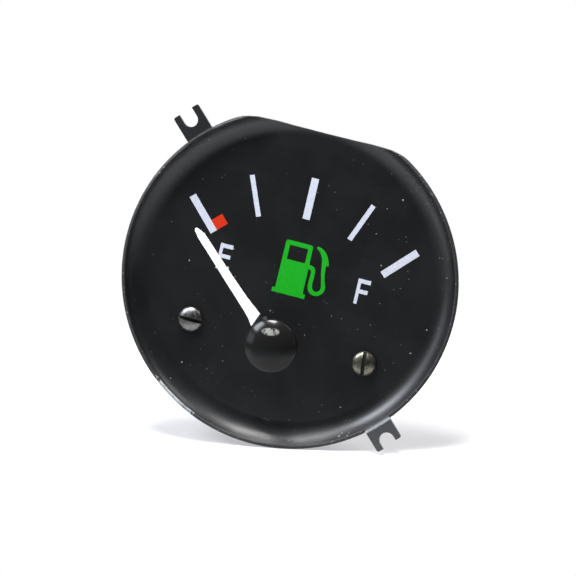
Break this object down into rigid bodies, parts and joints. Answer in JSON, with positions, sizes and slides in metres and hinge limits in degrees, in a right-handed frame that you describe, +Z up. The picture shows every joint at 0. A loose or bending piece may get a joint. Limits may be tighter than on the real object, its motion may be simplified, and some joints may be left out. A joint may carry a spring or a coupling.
{
  "type": "fuel gauge",
  "caption": "Round instrument-cluster fuel gauge: black dished dial with forked ears, white pointer on a black cap, and a magnetic movement in a can behind.",
  "frame": {"origin": "centre of the round dial pan, on the plane of the two ears' rear seating faces", "axes": "+X to the right as the dial is read, +Y backwards away from the reader, +Z up on the dial"},
  "size_m": [0.0762, 0.0567, 0.0718],
  "materials": {
    "dial_black": "matte black stove enamel",
    "screw_plate": "bright zinc plate",
    "yellow_zinc": "dull yellow passivated zinc",
    "spacer_aluminium": "turned",
    "turned_brass": "turned",
    "steel": "ground",
    "nylon": "natural nylon moulding",
    "copper_wire": "enamelled copper winding",
    "magnet": "sintered magnet",
    "fibre": "red-brown vulcanised fibre",
    "phenolic": "paper phenolic sheet",
    "tinned": "tinned",
    "resistor_ceramic": "cement-filled ceramic",
    "pointer_white": "white",
    "cap_black": "gloss black moulding",
    "bush_aluminium": "turned"
  },
  "bodies": {
    "gauge_frame": {"dial_pan": "dial_black", "dial_screws": "screw_plate", "dial_spacers": "spacer_aluminium", "bridge_plate": "yellow_zinc", "front_bearing": "turned_brass", "stop_pins": "steel", "front_bobbin": "nylon", "rear_bobbin": "nylon", "bobbin_screws": "screw_plate", "inner_coil": "copper_wire", "outer_coil": "copper_wire", "rear_pivot_bearing": "turned_brass", "zero_return_magnet": "magnet", "shield_can": "yellow_zinc", "insulator_disc": "fibre", "terminal_board": "phenolic", "terminal_studs": "turned_brass", "solder_tags": "tinned", "stud_washer": "steel", "inner_nuts": "turned_brass", "lock_washers": "steel", "outer_nuts": "turned_brass", "calibration_resistor": "resistor_ceramic", "resistor_leads": "tinned", "coil_leads": "copper_wire"},
    "pointer_assembly": {"pointer": "pointer_white", "pointer_cap": "cap_black", "pointer_bush": "bush_aluminium", "balance_weight": "turned_brass", "spindle": "steel", "stop_arm": "steel", "thrust_washer": "nylon", "spindle_clip": "steel", "magnet_hub": "turned_brass", "rotor_magnet": "magnet"}
  },
  "joints": [
    {"name": "pointer_swing", "type": "hinge", "parent": "gauge_frame", "child": "pointer_assembly", "pos_m": [0.00016, 0, -0.01458], "axis": [0, 1, 0], "range_deg": [0, 92.6]}
  ]
}
